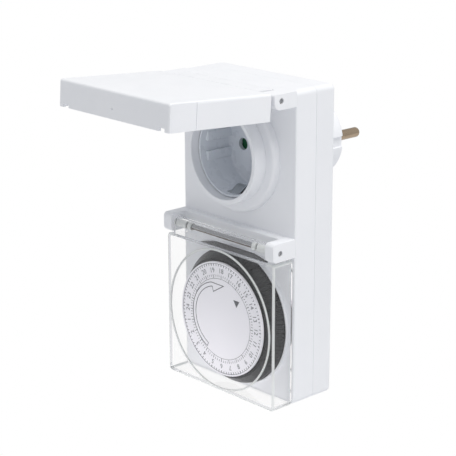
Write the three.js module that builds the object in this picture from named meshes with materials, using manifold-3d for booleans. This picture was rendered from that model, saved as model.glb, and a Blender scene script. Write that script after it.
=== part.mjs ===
import * as THREE from 'three';
import { mergeVertices } from 'three/addons/utils/BufferGeometryUtils.js';
import Module from 'manifold-3d';

const wasm = await Module();
wasm.setup();

// Plug-in 24 hour timer adaptor. Millimetres, +Z up, the front faces -Y.
// Working frame: X = 0 on the centre plane, Y = 0 on the front panel, Z = 0 at the housing's foot.
// The finished group is moved so that its origin is the centre of the plug's end face.

// housing
const bodyWidth = 74;
const bodyHeight = 146;
const bodyDepth = 25;
const bodyCorner = 2.5;
const splitY = 12.5;
const wall = 2;
const restGap = 0.3;
const innerHalf = bodyWidth / 2 - wall;

// socket, Schuko pattern
const socketZ = 112.5;
const collarFront = -10.7;
const collarOuter = 22.4;
const collarInner = 20.2;
const collarBase = 27.3;
const collarBaseFront = -4;
const cupOuter = 19.9;
const cupInner = 18.9;
const cupFront = -6.2;
const cupFloor = 12.2;
const cupFloorThick = 2;
const cupFlange = 22.6;
const cupCorner = 0.8;
const padInner = 17.2;
const padThick = 1.4;
const padHeight = 4.6;
const padLow = 2.4;
const contactPitch = 19;
const contactHole = 2.9;
const pinRadius = 2.4;
const pinLength = 19;

// plug
const plugRadius = 18.8;
const plugHeight = 25;
const plugWall = 2.6;
const plugEndThick = 4;
const plugGrooveHalf = 2.6;
const earthStripHalf = 3.6;
const earthStripThick = 1.1;
const plugFaceY = bodyDepth + plugHeight;

// lid over the socket
const lidPinY = -9;
const lidPinZ = 142.8;
const lidOpenAngle = 94;
const lidHalf = 36.9;
const lidLength = 62.5;
const lidSideStart = 5.4;
const lidFace = 3.6;
const lidMouth = 8.6;
const lidWall = 1.5;
const lidHeel = 3.5;
const barrelHalf = 28;
const earInner = 28.5;
const earFoot = 138.8;
const earReach = 4.2;
const ledgeFront = -4.9;
const ledgeFoot = 139;

// clear cover over the dial
const coverPinY = -9.1;
const coverPinZ = 74.5;
const coverHalf = 36;
const coverFoot = -0.5;
const coverTop = 69.4;
const coverFront = -12.2;
const coverBack = -0.4;
const coverWall = 1.3;
const coverBarrel = 3.1;
const coverBarrelHalf = 30.9;
const coverNotch = 30.4;
const lugInner = 31.5;
const lugReach = 4.4;
const railFront = -4;
const railFoot = 70.5;
const railTop = 79.3;
const hingePinRadius = 1.1;
const runningGap = 0.05;

// dial
const dialZ = 34.6;
const dialRadius = 27.4;
const dialFront = -10.2;
const dialSkin = 1;
const segmentOuter = 32.3;
const segmentInner = 27.8;
const segmentCount = 96;
const looseSegments = 4;
const segmentPitch = 360 / segmentCount;
const looseStart = 112.5;
const segmentBack = 3;
const segmentTravel = 1.6;
const wellRadius = 32.6;
const wellLipFront = -1.6;
const wellLipThick = 0.5;
const dialSides = 40;

// clockwork
const dialTeeth = 80;
const idlerPinionTeeth = 12;
const coarseModule = 0.6;
const idlerWheelTeeth = 40;
const motorTeeth = 10;
const fineModule = 0.5;
const trainY = 4;
const plateY = 9.4;
const plateThick = 1.5;
const idlerAngle = 60;
const idlerReach = (dialTeeth + idlerPinionTeeth) * coarseModule / 2;
const motorReach = (idlerWheelTeeth + motorTeeth) * fineModule / 2;

const screwX = 29.5;
const screwLow = 7;
const screwHigh = 139;
const screwRadius = 1.25;
const screwHead = 2.8;
const bossRadius = 3.3;
const columnRadius = 4.2;

const rad = THREE.MathUtils.degToRad;
const idlerX = idlerReach * Math.cos(rad(idlerAngle));
const idlerZ = dialZ + idlerReach * Math.sin(rad(idlerAngle));
const motorX = idlerX - motorReach;

// ---- geometry helpers -------------------------------------------------------

function box(x0, x1, y0, y1, z0, z1) {
  const geometry = new THREE.BoxGeometry(x1 - x0, y1 - y0, z1 - z0);
  return geometry.translate((x0 + x1) / 2, (y0 + y1) / 2, (z0 + z1) / 2);
}

// A cylinder along Y, centred on (x, z).
function rodY(radius, y0, y1, x, z, sides = 32) {
  const geometry = new THREE.CylinderGeometry(radius, radius, y1 - y0, sides);
  return geometry.translate(x, (y0 + y1) / 2, z);
}

// A cylinder along Y whose two ends differ in radius.
function coneY(radiusA, radiusB, y0, y1, x, z, sides = 32) {
  const geometry = new THREE.CylinderGeometry(radiusB, radiusA, y1 - y0, sides);
  return geometry.translate(x, (y0 + y1) / 2, z);
}

// A cylinder along X, centred on (y, z).
function rodX(radius, x0, x1, y, z, sides = 24) {
  const geometry = new THREE.CylinderGeometry(radius, radius, x1 - x0, sides);
  return geometry.rotateZ(Math.PI / 2).translate((x0 + x1) / 2, y, z);
}

// A closed profile of [radius, y] points turned about the Y axis through (x, z).
function turnedY(profile, x, z, sides = 32) {
  const points = profile.map(([r, y]) => new THREE.Vector2(r, y));
  if (THREE.ShapeUtils.area(points) < 0) {
    points.reverse();
  }
  points.push(points[0].clone());
  return new THREE.LatheGeometry(points, sides).translate(x, 0, z);
}

// An outline in X and Z pushed along Y.
function plateY0(shape, y0, y1, curveSegments = 3) {
  const options = { depth: y1 - y0, bevelEnabled: false, curveSegments };
  return new THREE.ExtrudeGeometry(shape, options).rotateX(Math.PI / 2).translate(0, y1, 0);
}

// The same with both rims rounded over by `round`.
function softPlate(shape, y0, y1, round, steps = 1) {
  const options = {
    depth: y1 - y0 - 2 * round,
    bevelThickness: round,
    bevelSize: round,
    bevelOffset: -round,
    bevelSegments: steps,
    curveSegments: 3,
  };
  return new THREE.ExtrudeGeometry(shape, options).rotateX(Math.PI / 2).translate(0, y1 - round, 0);
}

// An outline in Y and Z pushed along X.
function barX(shape, x0, x1, curveSegments = 4) {
  const options = { depth: x1 - x0, bevelEnabled: false, curveSegments };
  const geometry = new THREE.ExtrudeGeometry(shape, options);
  const basis = new THREE.Matrix4().makeBasis(
    new THREE.Vector3(0, 1, 0), new THREE.Vector3(0, 0, 1), new THREE.Vector3(1, 0, 0));
  return geometry.applyMatrix4(basis).translate(x0, 0, 0);
}

function roundedOutline(u0, u1, v0, v1, r) {
  const shape = new THREE.Shape();
  shape.moveTo(u0 + r, v0);
  shape.lineTo(u1 - r, v0);
  shape.absarc(u1 - r, v0 + r, r, -Math.PI / 2, 0);
  shape.lineTo(u1, v1 - r);
  shape.absarc(u1 - r, v1 - r, r, 0, Math.PI / 2);
  shape.lineTo(u0 + r, v1);
  shape.absarc(u0 + r, v1 - r, r, Math.PI / 2, Math.PI);
  shape.lineTo(u0, v0 + r);
  shape.absarc(u0 + r, v0 + r, r, Math.PI, Math.PI * 1.5);
  return shape;
}

// ---- solids -----------------------------------------------------------------

function toSolid(geometry) {
  const plain = geometry.index ? geometry.toNonIndexed() : geometry.clone();
  plain.deleteAttribute('normal');
  plain.deleteAttribute('uv');
  const merged = mergeVertices(plain, 1e-5);
  const mesh = new wasm.Mesh({
    numProp: 3,
    vertProperties: new Float32Array(merged.attributes.position.array),
    triVerts: new Uint32Array(merged.index.array),
  });
  mesh.merge();
  return new wasm.Manifold(mesh);
}

function toGeometry(solid) {
  const mesh = solid.getMesh();
  const geometry = new THREE.BufferGeometry();
  geometry.setAttribute('position', new THREE.BufferAttribute(new Float32Array(mesh.vertProperties), 3));
  geometry.setIndex(new THREE.BufferAttribute(new Uint32Array(mesh.triVerts), 1));
  return geometry;
}

// Joins every shape in `add`, then cuts every shape in `cut` away.
function shaped(add, cut = []) {
  let solid = toSolid(add[0]);
  add.slice(1).forEach((geometry) => {
    solid = solid.add(toSolid(geometry));
  });
  cut.forEach((geometry) => {
    solid = solid.subtract(toSolid(geometry));
  });
  return toGeometry(solid);
}

// ---- materials --------------------------------------------------------------

function plastic(color, roughness = 0.45) {
  return new THREE.MeshStandardMaterial({ color, roughness, metalness: 0 });
}

function metal(color, roughness = 0.35) {
  return new THREE.MeshStandardMaterial({ color, roughness, metalness: 1 });
}

const whiteShell = () => plastic(0xf1f2f4, 0.38);
const clearShell = () => {
  const material = plastic(0xe8eeee, 0.08);
  material.transparent = true;
  material.opacity = 0.3;
  return material;
};
const steel = () => metal(0x9a9c9e, 0.3);
const nickel = () => metal(0xb9b3a6, 0.3);
const brass = () => metal(0xb58f4a, 0.4);

function node(name, geometry, material) {
  const mesh = new THREE.Mesh(geometry, material);
  mesh.name = name;
  return mesh;
}

const timer = new THREE.Group();
timer.position.set(0, -plugFaceY, -socketZ);

// ---- housings ---------------------------------------------------------------

const screwPlaces = [
  ['lower_left', -screwX, screwLow],
  ['lower_right', screwX, screwLow],
  ['upper_left', -screwX, screwHigh],
  ['upper_right', screwX, screwHigh],
];

// Outline of a hinge lug seen from the side, rounded at its front corners.
function lugOutline(front, foot, top, footRound, topRound) {
  const shape = new THREE.Shape();
  shape.moveTo(0.5, foot);
  shape.lineTo(0.5, top);
  shape.lineTo(front + topRound, top);
  shape.absarc(front + topRound, top - topRound, topRound, Math.PI / 2, Math.PI);
  shape.lineTo(front, foot + footRound);
  shape.absarc(front + footRound, foot + footRound, footRound, Math.PI, Math.PI * 1.5);
  return shape;
}

function mirroredBars(shape, inner, outer) {
  return [barX(shape, inner, outer), barX(shape, -outer, -inner)];
}

function makeFrontHousing() {
  const half = bodyWidth / 2;
  const outer = roundedOutline(-half, half, 0, bodyHeight, bodyCorner);
  const inner = roundedOutline(-innerHalf, innerHalf, wall, bodyHeight - wall, 1);
  const shell = shaped([
    softPlate(outer, 0, splitY - 1, 0.6), plateY0(outer, 2, splitY - 0.15),
  ], [plateY0(inner, wall, splitY + 1)]);
  const ear = lugOutline(lidPinY - earReach, earFoot, bodyHeight, 3.6, 1.2);
  const lug = lugOutline(coverPinY - lugReach, railFoot, railTop, 2.2, 2);
  const collar = turnedY([
    [collarInner, collarFront + 0.5], [collarInner + 0.5, collarFront], [collarOuter - 0.6, collarFront],
    [collarOuter, collarFront + 0.6], [collarOuter, collarBaseFront - 0.2],
    [collarBase - 1.6, collarBaseFront], [collarBase, collarBaseFront + 1.8],
    [collarBase, 1], [collarInner, 1],
  ], 0, socketZ);
  const lipOuter = wellRadius + wellLipThick;
  const dialCollar = turnedY([
    [wellRadius, wellLipFront], [lipOuter, wellLipFront], [lipOuter, 0.5], [lipOuter + 1, 0.5],
    [lipOuter + 1, 3.4], [wellRadius, 3.4],
  ], 0, dialZ, dialSides);
  const bosses = screwPlaces.map(([, x, z]) => rodY(bossRadius, 1, splitY - 0.15, x, z, 16));
  const pilots = screwPlaces.map(([, x, z]) => rodY(screwRadius + 0.1, 4, splitY + 1, x, z, 16));
  return shaped([
    shell, ...mirroredBars(ear, earInner, half), ...mirroredBars(lug, lugInner, half),
    box(-earInner - 0.5, earInner + 0.5, ledgeFront, 0.5, ledgeFoot, bodyHeight),
    box(-half, half, railFront, 0.5, railFoot, railTop),
    rodY(collarBase - 1, -0.5, 1, 0, socketZ, 32),
    collar, dialCollar, ...bosses,
  ], [
    rodY(collarInner, collarFront - 1, 3, 0, socketZ, 32),
    rodY(wellRadius, -3, 4, 0, dialZ, dialSides),
    rodX(hingePinRadius + runningGap, -40, 40, lidPinY, lidPinZ),
    rodX(hingePinRadius + runningGap, -40, 40, coverPinY, coverPinZ),
    ...pilots,
  ]);
}

function makeRearHousing() {
  const half = bodyWidth / 2;
  const outer = roundedOutline(-half, half, 0, bodyHeight, bodyCorner);
  const inner = roundedOutline(-innerHalf, innerHalf, wall, bodyHeight - wall, 1);
  const columns = screwPlaces.map(([, x, z]) => rodY(columnRadius, splitY + 0.15, bodyDepth - 0.5, x, z, 16));
  const shanks = screwPlaces.map(([, x, z]) => rodY(screwRadius + 0.35, splitY - 1, bodyDepth, x, z, 16));
  const sinks = screwPlaces.map(([, x, z]) => rodY(screwHead + 0.3, bodyDepth - 2.6, bodyDepth + 1, x, z, 16));
  const shell = shaped([
    plateY0(outer, splitY + 0.15, splitY + 6), softPlate(outer, splitY + 1, bodyDepth, 1.8),
  ], [plateY0(inner, splitY - 1, bodyDepth - wall)]);
  return shaped([shell, ...columns], [
    rodY(plugRadius + restGap, bodyDepth - 4, bodyDepth + 1, 0, socketZ, 32),
    ...shanks, ...sinks,
  ]);
}

// Plug body: a cup with an inner flange, grooved at both sides and let in for the earth strips.
function makePlugBody() {
  const hollow = plugRadius - plugWall;
  const flangeBack = bodyDepth - wall - restGap;
  const cuts = [-1, 1].flatMap((side) => {
    const grooveX = side * (plugRadius + 1);
    const stripZ = socketZ + side * (plugRadius + 1);
    return [
      box(grooveX - plugGrooveHalf, grooveX + plugGrooveHalf, bodyDepth + 4, plugFaceY + 1,
        socketZ - plugGrooveHalf, socketZ + plugGrooveHalf),
      box(-earthStripHalf - 0.8, earthStripHalf + 0.8, bodyDepth + 6, plugFaceY + 1, stripZ - 2.8, stripZ + 2.8),
      rodY(pinRadius + 0.1, plugFaceY - 6, plugFaceY + 1, side * contactPitch / 2, socketZ, 24),
    ];
  });
  return shaped([
    rodY(plugRadius, flangeBack - 2, plugFaceY, 0, socketZ, 32),
    rodY(plugRadius + 2, flangeBack - 2, flangeBack, 0, socketZ, 32),
  ], [rodY(hollow, flangeBack - 4, plugFaceY - plugEndThick, 0, socketZ, 32), ...cuts]);
}

function makeHousingGasket() {
  const gap = wall + restGap;
  const half = bodyWidth / 2;
  const outer = roundedOutline(-half + gap, half - gap, gap, bodyHeight - gap, 0.7);
  const inner = roundedOutline(-half + gap + 1.1, half - gap - 1.1, gap + 1.1, bodyHeight - gap - 1.1, 0.5);
  const cuts = screwPlaces.map(([, x, z]) => rodY(columnRadius + restGap, splitY - 3, splitY + 3, x, z, 16));
  return shaped([plateY0(outer, splitY - 1.2, splitY + 1.2)], [plateY0(inner, splitY - 3, splitY + 3), ...cuts]);
}

// A self-tapping screw driven in from the back.
function makeScrew(x, z) {
  const headBack = bodyDepth - 0.6;
  return shaped([
    rodY(screwRadius, 6, headBack - 1, x, z, 16), rodY(screwHead, headBack - 1.7, headBack, x, z, 16),
  ], [
    box(x - 1.8, x + 1.8, headBack - 0.7, headBack + 1, z - 0.35, z + 0.35),
    box(x - 0.35, x + 0.35, headBack - 0.7, headBack + 1, z - 1.8, z + 1.8),
  ]);
}

timer.add(node('front_housing', makeFrontHousing(), whiteShell()));
timer.add(node('rear_housing', makeRearHousing(), whiteShell()));
timer.add(node('housing_gasket', makeHousingGasket(), plastic(0x55585c, 0.8)));
screwPlaces.forEach(([place, x, z]) => {
  timer.add(node(`housing_screw_${place}`, makeScrew(x, z), steel()));
});

// ---- socket and plug --------------------------------------------------------

const earthSlotHalf = 4;

function makeSocketCup() {
  const back = cupFloor + cupFloorThick;
  const pads = [];
  [-1, 1].forEach((side) => {
    [-1, 1].forEach((upper) => {
      const x0 = side > 0 ? padInner : -padInner - padThick;
      const z0 = upper > 0 ? socketZ + padLow : socketZ - padLow - padHeight;
      pads.push(box(x0, x0 + padThick, cupFront + 3.5, cupFloor + 0.5, z0, z0 + padHeight));
    });
  });
  const cup = turnedY([
    [cupInner - cupCorner, back], [cupInner - cupCorner, cupFloor], [cupInner, cupFloor - cupCorner],
    [cupInner, cupFront], [cupOuter, cupFront], [cupOuter, 2.4], [cupFlange, 2.4], [cupFlange, 4], [cupOuter, 4],
    [cupOuter, back],
  ], 0, socketZ);
  const floor = rodY(cupInner - 0.5, cupFloor, back, 0, socketZ, 32);
  return shaped([cup, floor, ...pads], [
    rodY(contactHole, cupFloor - 1, back + 1, -contactPitch / 2, socketZ, 24),
    rodY(contactHole, cupFloor - 1, back + 1, contactPitch / 2, socketZ, 24),
    box(-earthSlotHalf, earthSlotHalf, -3.4, 11, socketZ + 16, socketZ + 24),
    box(-earthSlotHalf, earthSlotHalf, -3.4, 11, socketZ - 24, socketZ - 16),
  ]);
}

// Spring blade of the side earth contact, bowed inwards through its slot.
function makeEarthClip(side) {
  const thick = 0.6;
  const inner = 15.8;
  const outer = 19.2;
  const spine = [[-2.6, outer], [2.2, inner], [4.4, inner], [10, outer]];
  const shape = new THREE.Shape();
  spine.forEach(([y, r], i) => {
    const z = socketZ + side * r;
    if (i === 0) {
      shape.moveTo(y, z);
    } else {
      shape.lineTo(y, z);
    }
  });
  spine.slice().reverse().forEach(([y, r]) => {
    shape.lineTo(y, socketZ + side * (r + thick));
  });
  return shaped([barX(shape, -3, 3)]);
}

// Strap behind the cup that joins both earth blades.
function makeEarthBar() {
  const back = cupFloor + cupFloorThick + restGap + 2.6;
  const reach = 22;
  return shaped([
    box(-3, 3, back, back + 0.8, socketZ - reach, socketZ + reach),
    box(-3, 3, 4.6, back + 0.8, socketZ + reach - 0.8, socketZ + reach),
    box(-3, 3, 4.6, back + 0.8, socketZ - reach, socketZ - reach + 0.8),
  ]);
}

const shutterTravel = 5.6;
const shutterY = cupFloor + cupFloorThick + restGap;

function makeShutter() {
  const holes = [-1, 1].map((side) => {
    const x = side * contactPitch / 2 - shutterTravel;
    return rodY(contactHole, shutterY - 1, shutterY + 3, x, socketZ, 24);
  });
  return shaped([box(-18.6, 13, shutterY, shutterY + 1.8, socketZ - 4, socketZ + 4)], holes);
}

function makeShutterSpring() {
  return shaped([rodX(0.85, 13.3, 19.9, shutterY + 0.9, socketZ, 12)]);
}

const clipFront = 17;
const clipBack = 31;

function makeContactClip(side) {
  const x = side * contactPitch / 2;
  return shaped([rodY(3.6, clipFront, clipBack, x, socketZ, 24)], [
    rodY(pinRadius + 0.15, clipFront - 1, clipBack - 0.8, x, socketZ, 24),
    box(x - 0.5, x + 0.5, clipFront - 1, clipBack - 3, socketZ - 6, socketZ + 6),
  ]);
}

function makePlugPin(side) {
  const x = side * contactPitch / 2;
  const tip = plugFaceY + pinLength;
  return shaped([
    rodY(3.4, 33, 34.5, x, socketZ, 24), rodY(pinRadius, 34, tip - 2.2, x, socketZ, 24),
    coneY(pinRadius, pinRadius - 0.6, tip - 2.2, tip - 0.8, x, socketZ, 24),
    coneY(pinRadius - 0.6, pinRadius - 1.5, tip - 0.8, tip, x, socketZ, 24),
  ]);
}

function makePlugEarthStrip(side) {
  const far = socketZ + side * (plugRadius - 0.4);
  const near = far - side * earthStripThick;
  const [low, high] = [Math.min(near, far), Math.max(near, far)];
  return shaped([box(-earthStripHalf, earthStripHalf, bodyDepth + 6.4, plugFaceY - 0.6, low, high)]);
}

const stripThick = 0.9;
const stripHalf = 2.4;
const stripX = 13.4;
const stripBack = 33.6;
const switchSide = -20.1;

function makeNeutralBar() {
  return shaped([box(stripX, stripX + stripThick, 20, stripBack, socketZ - stripHalf, socketZ + stripHalf)]);
}

// Runs from the live plug pin down to the switch.
function makeLiveBar() {
  const outerX = -stripX - stripThick;
  const [front, back] = [18.8, 20];
  const [footLow, footHigh] = [30, 33];
  return shaped([
    box(outerX, -stripX, front, stripBack, socketZ - stripHalf, socketZ + stripHalf),
    box(outerX, -stripX, front, back, footLow, socketZ + stripHalf),
    box(switchSide, -stripX, front, back, footLow, footHigh),
  ]);
}

// Runs from the switch up to the live contact.
function makeLoadBar() {
  const [outerX, innerX] = [-17, -16.1];
  const [footLow, footHigh] = [38, 41];
  const [headLow, headHigh] = [104.5, 108.6];
  const back = clipFront + stripThick;
  return shaped([
    box(outerX, -8, clipFront, back, headLow, headHigh),
    box(outerX, innerX, clipFront, back, footLow, headHigh),
    box(switchSide, innerX, clipFront, back, footLow, footHigh),
  ]);
}

timer.add(node('socket_cup', makeSocketCup(), plastic(0xe9ebef, 0.4)));
timer.add(node('socket_shutter', makeShutter(), plastic(0x3f9a52, 0.45)));
timer.add(node('shutter_spring', makeShutterSpring(), steel()));
timer.add(node('earth_clip_upper', makeEarthClip(1), nickel()));
timer.add(node('earth_clip_lower', makeEarthClip(-1), nickel()));
timer.add(node('earth_bar', makeEarthBar(), nickel()));
timer.add(node('live_contact', makeContactClip(-1), brass()));
timer.add(node('neutral_contact', makeContactClip(1), brass()));
timer.add(node('plug_body', makePlugBody(), whiteShell()));
timer.add(node('plug_pin_live', makePlugPin(-1), nickel()));
timer.add(node('plug_pin_neutral', makePlugPin(1), nickel()));
timer.add(node('plug_earth_upper', makePlugEarthStrip(1), nickel()));
timer.add(node('plug_earth_lower', makePlugEarthStrip(-1), nickel()));
timer.add(node('neutral_bar', makeNeutralBar(), brass()));
timer.add(node('live_bar', makeLiveBar(), brass()));
timer.add(node('load_bar', makeLoadBar(), brass()));

// ---- lid --------------------------------------------------------------------

// The lid is drawn closed, about its pin, and its group turns it open. Its heel beyond the barrel is the
// flat that carries the lid's face up to the housing's ledge.
function makeLid() {
  const foot = -lidLength;
  const outerBox = barX(roundedOutline(-lidFace, lidMouth, foot, -lidSideStart, 1.4), -lidHalf, lidHalf, 3);
  const inner = box(-lidHalf + lidWall, lidHalf - lidWall, -lidFace + lidWall, lidMouth + 2,
    foot + lidWall, -lidSideStart - lidWall);
  const relief = box(-earInner, earInner, 2.2, lidMouth + 2, -lidSideStart - lidWall - 0.5, -lidSideStart + 1);
  const notches = [-1, 1].map((side) => {
    const x = side * (lidHalf - 5);
    return box(x - 2, x + 2, lidMouth - 1.6, lidMouth + 1, foot - 1, foot + lidWall + 0.2);
  });
  return shaped([
    outerBox, rodX(lidFace, -barrelHalf, barrelHalf, 0, 0, 20),
    box(-barrelHalf, barrelHalf, -lidFace, 0, -lidSideStart - 0.6, lidHeel),
  ], [inner, relief, ...notches, rodX(hingePinRadius + runningGap, -40, 40, 0, 0)]);
}

function makeLidSeal() {
  const face = -lidFace + lidWall + restGap;
  const z = socketZ - lidPinZ;
  return turnedY([[17.9, face], [19.7, face], [19.7, face + 2.2], [19.2, face + 3.3], [18.4, face + 3.3]], 0, z);
}

const lidGroup = new THREE.Group();
lidGroup.position.set(0, lidPinY, lidPinZ);
lidGroup.rotation.x = -rad(lidOpenAngle);
lidGroup.add(node('socket_lid', makeLid(), whiteShell()));
lidGroup.add(node('lid_seal', makeLidSeal(), plastic(0x6a6d70, 0.8)));
timer.add(lidGroup);

function makeHingePin(y, z) {
  return shaped([rodX(hingePinRadius, -bodyWidth / 2 + 0.6, bodyWidth / 2 - 0.6, y, z)]);
}

timer.add(node('lid_hinge_pin', makeHingePin(lidPinY, lidPinZ), steel()));
timer.add(node('cover_hinge_pin', makeHingePin(coverPinY, coverPinZ), steel()));

// ---- clear cover ------------------------------------------------------------

// Hook that wraps the front and top of the pin, open below.
function hookOutline() {
  const inside = coverBarrel - coverWall;
  const shape = new THREE.Shape();
  shape.moveTo(coverPinY - coverBarrel, coverTop - 1);
  shape.lineTo(coverPinY - inside, coverTop - 1);
  shape.lineTo(coverPinY - inside, coverPinZ);
  shape.absarc(coverPinY, coverPinZ, inside, Math.PI, 0, true);
  shape.lineTo(coverPinY + coverBarrel, coverPinZ);
  shape.absarc(coverPinY, coverPinZ, coverBarrel, 0, Math.PI, false);
  return shape;
}

function makeClearCover() {
  const outer = roundedOutline(-coverHalf, coverHalf, coverFoot, coverTop, 2);
  const inner = roundedOutline(-coverHalf + coverWall, coverHalf - coverWall,
    coverFoot + coverWall, coverTop - coverWall, 1);
  const knuckles = [[-30.9, -24], [-22.8, -20.6], [20.6, 22.8], [24, 30.9]].map(([x0, x1]) => (
    rodX(coverBarrel - 0.05, x0, x1, coverPinY, coverPinZ, 16)));
  const window = turnedY([[33.2, coverFront - 0.9], [34.2, coverFront - 0.9], [34.2, coverFront + 0.4],
    [33.2, coverFront + 0.4]], 0, dialZ, dialSides);
  return shaped([
    plateY0(outer, coverFront, coverBack), barX(hookOutline(), -coverBarrelHalf, coverBarrelHalf, 6),
    ...knuckles, window,
  ], [
    plateY0(inner, coverFront + coverWall, coverBack + 1),
    box(-coverNotch, coverNotch, -5.2, coverBack + 1, coverTop - coverWall - 1, coverTop + 1),
    rodX(hingePinRadius + runningGap, -40, 40, coverPinY, coverPinZ),
  ]);
}

timer.add(node('clear_cover', makeClearCover(), clearShell()));

// ---- dial -------------------------------------------------------------------

const spindleRadius = 2;
const discBack = -8.7;

// The disc is closed in front: its hub takes the spindle in a blind hole.
function makeDialDisc() {
  const hub = 4.5;
  const hubBack = -6;
  const disc = turnedY([
    [hub - 1, hubBack], [hub, hubBack], [hub, discBack], [dialRadius - 0.8, discBack],
    [dialRadius, discBack - 0.4], [dialRadius, dialFront - 0.3], [dialRadius - 0.8, dialFront - 0.3],
    [dialRadius - 0.9, dialFront], [hub - 1, dialFront],
  ], 0, dialZ, dialSides);
  return shaped([disc, rodY(hub - 0.5, dialFront, hubBack, 0, dialZ, dialSides)], [
    rodY(spindleRadius + 0.1, dialFront + dialSkin, hubBack + 1, 0, dialZ, 24),
  ]);
}

// Profile of a switching segment: it slopes down from the disc's edge to its outer face.
const segmentProfile = [
  [segmentInner, -8.4], [segmentInner + 0.9, -8.4], [segmentOuter, -3.2],
  [segmentOuter, segmentBack], [segmentInner, segmentBack],
];

// A wedge of the dial, seen from the front, between two angles.
function wedge(from, to, y0, y1) {
  const reach = 40;
  const shape = new THREE.Shape();
  shape.moveTo(0, 0);
  shape.lineTo(reach * Math.cos(rad(from)), reach * Math.sin(rad(from)));
  shape.lineTo(reach * Math.cos(rad(to)), reach * Math.sin(rad(to)));
  return plateY0(shape, y0, y1).translate(0, 0, dialZ);
}

// Carrier drum with the segments that stand still on it, joined into one ring.
function makeSegmentCarrier() {
  const ring = turnedY([
    [spindleRadius + 0.1, 0.6], [segmentInner - 1.2, 0.6], [segmentInner - 1.2, -8.4],
    ...segmentProfile.slice(1), [spindleRadius + 0.1, segmentBack],
  ], 0, dialZ, dialSides);
  const loose = shaped([wedge(looseStart - 0.6, looseStart + looseSegments * segmentPitch + 0.6, -12, 6)],
    [rodY(segmentInner + 0.2, -13, 7, 0, dialZ, dialSides)]);
  return shaped([ring], [loose]);
}

function makeLooseSegment(index) {
  const from = looseStart + index * segmentPitch + 0.35;
  const to = from + segmentPitch - 0.7;
  const ring = turnedY([
    [segmentInner + 0.5, -8.4], [segmentInner + 0.9, -8.4], [segmentOuter, -3.2],
    [segmentOuter, segmentBack], [segmentInner + 0.5, segmentBack],
  ], 0, dialZ, dialSides);
  const kept = toSolid(ring).intersect(toSolid(wedge(from, to, -12, 6)));
  return toGeometry(kept);
}

function makeSpindle() {
  return shaped([rodY(spindleRadius, dialFront + dialSkin + 0.1, 14, 0, dialZ, 24)]);
}

function gearOutline(teeth, module, turn) {
  const pitchRadius = teeth * module / 2;
  const tip = pitchRadius + 0.85 * module;
  const root = pitchRadius - 1.2 * module;
  const step = 2 * Math.PI / teeth;
  const corners = [[root, -0.3], [tip, -0.11], [tip, 0.11], [root, 0.3]];
  const shape = new THREE.Shape();
  for (let i = 0; i < teeth; i += 1) {
    corners.forEach(([radius, part], j) => {
      const angle = turn + (i + part) * step;
      const x = radius * Math.cos(angle);
      const z = radius * Math.sin(angle);
      if (i === 0 && j === 0) {
        shape.moveTo(x, z);
      } else {
        shape.lineTo(x, z);
      }
    });
  }
  return shape;
}

function gear(teeth, module, y0, y1, x, z, turn) {
  return plateY0(gearOutline(teeth, module, turn), y0, y1).translate(x, 0, z);
}

// The idler pinion shows a gap, not a tooth, to the dial gear's tooth on their centre line.
const towardsIdler = rad(idlerAngle);
const idlerTurn = towardsIdler + Math.PI + Math.PI / idlerPinionTeeth;

function makeDialGear() {
  return shaped([
    gear(dialTeeth, coarseModule, trainY, trainY + 2.4, 0, dialZ, towardsIdler),
  ], [rodY(spindleRadius + 0.1, trainY - 1, trainY + 4, 0, dialZ, 24)]);
}

function makeIdlerGear() {
  return shaped([
    gear(idlerPinionTeeth, coarseModule, trainY, trainY + 3, idlerX, idlerZ, idlerTurn),
    gear(idlerWheelTeeth, fineModule, trainY + 2.8, trainY + 4.6, idlerX, idlerZ, Math.PI),
  ], [rodY(1 + runningGap, trainY - 1, trainY + 6, idlerX, idlerZ, 20)]);
}

function makeMotorPinion() {
  return shaped([
    gear(motorTeeth, fineModule, trainY + 2.9, trainY + 4.8, motorX, idlerZ, Math.PI / motorTeeth),
    rodY(0.9, trainY + 4, 13, motorX, idlerZ, 16),
  ]);
}

timer.add(node('dial_disc', makeDialDisc(), plastic(0xe6e6ee, 0.35)));
timer.add(node('segment_carrier', makeSegmentCarrier(), plastic(0x4a4c50, 0.5)));
for (let index = 0; index < looseSegments; index += 1) {
  timer.add(node(`segment_${index + 1}`, makeLooseSegment(index), plastic(0x4a4c50, 0.5)));
}
timer.add(node('dial_spindle', makeSpindle(), steel()));
timer.add(node('dial_gear', makeDialGear(), plastic(0xd9d2bd, 0.5)));
timer.add(node('idler_gear', makeIdlerGear(), plastic(0xd9d2bd, 0.5)));
timer.add(node('idler_axle', shaped([rodY(1, 3.6, plateY + plateThick, idlerX, idlerZ, 20)]), steel()));
timer.add(node('motor_pinion', makeMotorPinion(), brass()));

// ---- clockwork frame, motor and switch --------------------------------------

const leverPivotY = 6.6;
const leverPivotZ = 52;
const leverX0 = -31.6;
const leverX1 = -29.2;
const leverNoseZ = 34;
const plungerZ = 40;
const plungerRadius = 1.1;
const switchFront = plateY + plateThick + restGap;

function makeMechanismPlate() {
  const shape = roundedOutline(-32.5, 32.5, 13, 69, 3);
  return shaped([
    plateY0(shape, plateY, plateY + plateThick),
    box(leverX0 + 0.1, leverX1 - 0.1, leverPivotY - 2, plateY + 0.5, leverPivotZ + 2.6, leverPivotZ + 4.2),
  ], [
    rodY(spindleRadius + 0.1, plateY - 1, plateY + 3, 0, dialZ, 24),
    rodY(1.05, plateY - 1, plateY + 3, idlerX, idlerZ, 20),
    rodY(1.4, plateY - 1, plateY + 3, motorX, idlerZ, 16),
    box(leverX0 - 0.6, leverX1 + 0.6, plateY - 1, plateY + 3, plungerZ - 2, plungerZ + 2),
    rodX(0.85, leverX0 - 3, leverX1 + 3, leverPivotY, leverPivotZ, 16),
  ]);
}

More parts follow.
